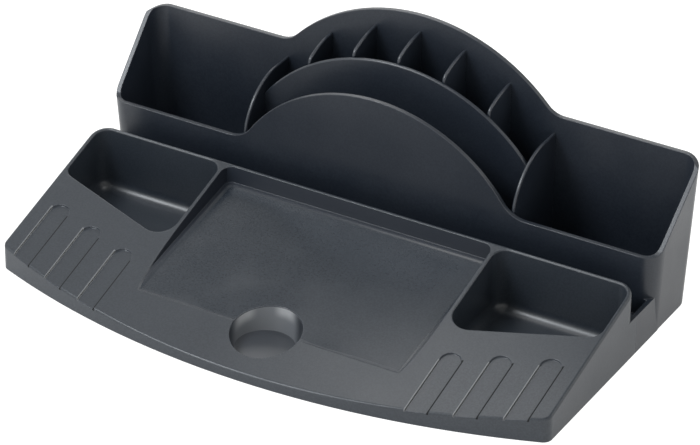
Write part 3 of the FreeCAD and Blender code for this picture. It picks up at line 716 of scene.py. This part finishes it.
@dataclass(frozen=True)
class FootRubber:
    """Dull black rubber with a dusty bloom."""

    name: str
    dark: Colour = (0.012, 0.012, 0.012, 1.0)
    bloom: Colour = (0.045, 0.044, 0.042, 1.0)
    roughness: Range = (0.75, 0.92)
    grain_pitch: float = 1500.0
    patch_pitch: float = 160.0
    grain_depth: float = 0.08 * MILLIMETRE
    grain_strength: float = 1.0
    edge_radius: float = 0.4 * MILLIMETRE

    def make(self, grain: SparkGrain, edge: RubbedSheenEdge) -> bpy.types.Material:
        """Makes the material.

        Args:
            grain: group for the rubber's grain.
            edge: group for the rounded edges.

        Returns:
            The material.
        """
        material, nodes = new_material(self.name)
        shader = nodes.add("ShaderNodeBsdfPrincipled", "rubber")
        nodes.show(shader.outputs["BSDF"])
        pitches = {"Grain per Metre": self.grain_pitch, "Patches per Metre": self.patch_pitch}
        surface = grain.place(nodes, "rubber grain", pitches).outputs
        rim = edge.place(nodes, "soft edges", {"Radius": self.edge_radius}).outputs
        skin = nodes.blend(self.dark, self.bloom, surface["Patch"], "black with bloom")
        nodes.link(skin, shader.inputs["Base Color"])
        dull = nodes.remap(surface["Speck"], (0.0, 1.0), self.roughness, "dull, a little uneven")
        nodes.link(dull, shader.inputs["Roughness"])
        grained = nodes.bump(surface["Height"], rim["Normal"], self.grain_depth, self.grain_strength)
        nodes.link(grained, shader.inputs["Normal"])
        return material


@dataclass
class SubAssembly:
    """Nodes of the frame that are dressed together."""

    title: str
    nodes: list[str]
    finish: Finish

    def dress(self, finishes: dict[Finish, bpy.types.Material]) -> list[bpy.types.Object]:
        """Gives each node its finish.

        Args:
            finishes: material of each finish.

        Returns:
            The dressed objects.
        """
        dressed = []
        for name in self.nodes:
            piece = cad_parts[name]
            piece.data.materials.clear()
            piece.data.materials.append(finishes[self.finish])
            dressed.append(piece)
        return dressed


@dataclass
class FrontTray(SubAssembly):
    """Sloping tray with two cups, a note recess, a finger scoop and tool channels."""

    title: str = "front tray"
    nodes: list[str] = field(default_factory=lambda: ["front_tray"])
    finish: Finish = Finish.TRAY


@dataclass
class RearCaddy(SubAssembly):
    """Open box with two arched walls."""

    title: str = "rear caddy"
    nodes: list[str] = field(default_factory=lambda: ["rear_caddy"])
    finish: Finish = Finish.CADDY


@dataclass
class Dividers(SubAssembly):
    """Letter partition, pen dividers and end dividers."""

    title: str = "dividers"
    pen_dividers: int = 5
    nodes: list[str] = field(default_factory=list)
    finish: Finish = Finish.CADDY

    def __post_init__(self) -> None:
        """Lists the plates."""
        pens = ["pen_divider_%d" % number for number in range(1, self.pen_dividers + 1)]
        self.nodes = ["letter_partition", "end_divider_left", "end_divider_right"] + pens


@dataclass
class Feet(SubAssembly):
    """Four stick-on rubber feet."""

    title: str = "feet"
    nodes: list[str] = field(
        default_factory=lambda: ["foot_front_left", "foot_front_right", "foot_rear_left", "foot_rear_right"]
    )
    finish: Finish = Finish.RUBBER


@dataclass(frozen=True)
class PhotoCamera:
    """Camera at the photograph's viewing angle."""

    position: Triple = (0.75222, -1.29408, 0.94214)
    azimuth: float = 30.054
    elevation: float = 31.174
    roll: float = 0.341
    focal_pixels: float = 4131.8
    axis_pixel: tuple[float, float] = (337.8, 223.57)
    image_pixels: tuple[int, int] = (700, 445)
    sensor: float = 36.0
    farthest: float = 20.0

    def axes(self) -> tuple[Vector, Vector, Vector]:
        """Works out the directions of the camera.

        Returns:
            The directions right, up and back, turned so that the image's middle is on the axis.
        """
        turn = math.radians(self.azimuth)
        tilt = math.radians(self.elevation)
        back = Vector((math.sin(turn) * math.cos(tilt), -math.cos(turn) * math.cos(tilt), math.sin(tilt)))
        level = Vector((math.cos(turn), math.sin(turn), 0.0))
        right = Matrix.Rotation(math.radians(self.roll), 3, back) @ level
        up = back.cross(right)
        aside = (self.image_pixels[0] / 2 - self.axis_pixel[0]) / self.focal_pixels
        above = (self.axis_pixel[1] - self.image_pixels[1] / 2) / self.focal_pixels
        back = (back - right * aside - up * above).normalized()
        right = (right - back * right.dot(back)).normalized()
        return right, back.cross(right), back

    def build(self) -> bpy.types.Object:
        """Makes the camera and sets it as the scene's own.

        Returns:
            The camera.
        """
        data = bpy.data.cameras.new("photo_camera")
        data.sensor_width = self.sensor
        data.lens = self.sensor * self.focal_pixels / self.image_pixels[0]
        data.clip_end = self.farthest
        camera = bpy.data.objects.new("photo_camera", data)
        camera.matrix_world = Matrix.Translation(self.position) @ Matrix(self.axes()).transposed().to_4x4()
        bpy.context.scene.collection.objects.link(camera)
        bpy.context.scene.camera = camera
        return camera


@dataclass(frozen=True)
class SoftBox:
    """Soft light from a rectangle that points at a place on or near the caddy."""

    name: str
    position: Triple
    size: tuple[float, float]
    power: float
    colour: Triple = (1.0, 1.0, 1.0)
    aim: Triple = (0.0, 0.0, 0.03)

    def build(self) -> bpy.types.Object:
        """Makes the light.

        Returns:
            The light.
        """
        data = bpy.data.lights.new(self.name, "AREA")
        data.shape = "RECTANGLE"
        data.size, data.size_y = self.size
        data.energy = self.power
        data.color = self.colour
        light = bpy.data.objects.new(self.name, data)
        towards = Vector(self.aim) - Vector(self.position)
        turn = towards.to_track_quat("-Z", "Y").to_matrix().to_4x4()
        light.matrix_world = Matrix.Translation(self.position) @ turn
        bpy.context.scene.collection.objects.link(light)
        return light


@dataclass(frozen=True)
class Studio:
    """Pale floor, surroundings that are brightest near the horizon, and soft lights."""

    floor_half: float = 4.0
    floor_gap: float = 0.05 * MILLIMETRE
    floor_colour: Colour = (0.92, 0.92, 0.92, 1.0)
    floor_roughness: float = 0.9
    floor_white: float = 0.85
    floor_glow: float = 0.4
    floor_strength: float = 1.3
    sky_colour: Colour = (1.0, 1.0, 0.97, 1.0)
    horizon_strength: float = 1.12
    zenith_strength: float = 0.49
    zenith_band: Range = (0.40, 0.78)
    lights: tuple[SoftBox, ...] = (
        SoftBox("deck_box", (-0.024, 0.02, 0.273), (0.14, 0.14), 0.17, aim=(0.105, -0.055, 0.012)),
        SoftBox("left_box", (-0.34, 0.075, 0.445), (0.22, 0.22), 0.11, aim=(-0.1, -0.035, 0.02)),
        SoftBox("key_box", (-0.757, -0.925, 1.33), (0.85, 0.5), 22.0, (0.92, 0.96, 1.0)),
        SoftBox("back_box", (-1.0, 1.7, 1.2), (1.5, 0.8), 8.0),
        SoftBox("side_box", (0.9, 0.6, 0.9), (0.5, 0.5), 2.0, aim=(0.45, 0.35, 0.0)),
        SoftBox("low_box", (-0.56, -1.17, 0.18), (0.9, 0.25), 1.0),
    )

    def build_floor(self) -> bpy.types.Object:
        """Makes the floor, which isn't part of the object.

        Returns:
            The floor.
        """
        reach = self.floor_half
        low = -self.floor_gap
        corners = [(-reach, -reach, low), (reach, -reach, low), (reach, reach, low), (-reach, reach, low)]
        mesh = bpy.data.meshes.new("pale_floor")
        mesh.from_pydata(corners, [], [(0, 1, 2, 3)])
        floor = bpy.data.objects.new("pale_floor", mesh)
        bpy.context.scene.collection.objects.link(floor)
        mesh.materials.append(self.make_floor_finish())
        return floor

    def make_floor_finish(self) -> bpy.types.Material:
        """Makes the floor's finish, which shows the camera only a faint shadow.

        Returns:
            The material.
        """
        material, nodes = new_material("pale_floor")
        paper = nodes.add("ShaderNodeBsdfPrincipled", "pale paper")
        paper.inputs["Base Color"].default_value = self.floor_colour
        paper.inputs["Roughness"].default_value = self.floor_roughness
        white = nodes.add("ShaderNodeEmission", "even white")
        white.inputs["Strength"].default_value = self.floor_strength
        ray = nodes.add("ShaderNodeLightPath", "what the camera sees")
        extra = self.floor_white - self.floor_glow
        seen = nodes.math("MULTIPLY", ray.outputs["Is Camera Ray"], extra, "more where the camera looks")
        share = nodes.math("ADD", seen, self.floor_glow, "share of even white")
        blend = nodes.add("ShaderNodeMixShader", "paper with a faint shadow")
        nodes.link(share, blend.inputs[0])
        nodes.link(paper.outputs["BSDF"], blend.inputs[1])
        nodes.link(white.outputs["Emission"], blend.inputs[2])
        nodes.show(blend.outputs["Shader"])
        return material

    def build_surroundings(self) -> bpy.types.World:
        """Makes the light from all round.

        Returns:
            The world.
        """
        world = bpy.data.worlds.new("studio")
        world.use_nodes = True
        nodes = NodeTree(world.node_tree)
        backdrop = world.node_tree.nodes["Background"]
        place = nodes.add("ShaderNodeTexCoord", "direction")
        parts = nodes.add("ShaderNodeSeparateXYZ", "height of the direction")
        nodes.link(place.outputs["Generated"], parts.inputs["Vector"])
        strengths = (self.horizon_strength, self.zenith_strength)
        strength = nodes.remap(parts.outputs["Z"], self.zenith_band, strengths, "dimmer overhead")
        nodes.link(strength, backdrop.inputs["Strength"])
        backdrop.inputs["Color"].default_value = self.sky_colour
        bpy.context.scene.world = world
        return world

    def build(self) -> None:
        """Builds the floor, the surroundings and the lights."""
        self.build_floor()
        self.build_surroundings()
        for light in self.lights:
            light.build()
        bpy.context.scene.view_settings.view_transform = "Standard"


def main() -> None:
    """Dresses the caddy, piece by piece, and builds the studio round it."""
    logging.basicConfig(level=logging.INFO, format="%(message)s")
    grain = SparkGrain()
    edge = RubbedSheenEdge()
    finishes = {
        Finish.TRAY: MouldedPlastic(Finish.TRAY.value).make(grain, edge, TrayZones(TraySizes())),
        # The caddy's finish is a darker copy of the tray's plastic: painted shade for the bins.
        Finish.CADDY: MouldedPlastic(Finish.CADDY.value, CADDY_SHADED_DARK, CADDY_SHADED_LIGHT).make(grain, edge),
        Finish.RUBBER: FootRubber(Finish.RUBBER.value).make(grain, edge),
    }
    for assembly in (FrontTray(), RearCaddy(), Dividers(), Feet()):
        for piece in assembly.dress(finishes):
            log.info("%s: %s", assembly.title, piece.name)
    PhotoCamera().build()
    Studio().build()


if __name__ == "__main__":
    main()
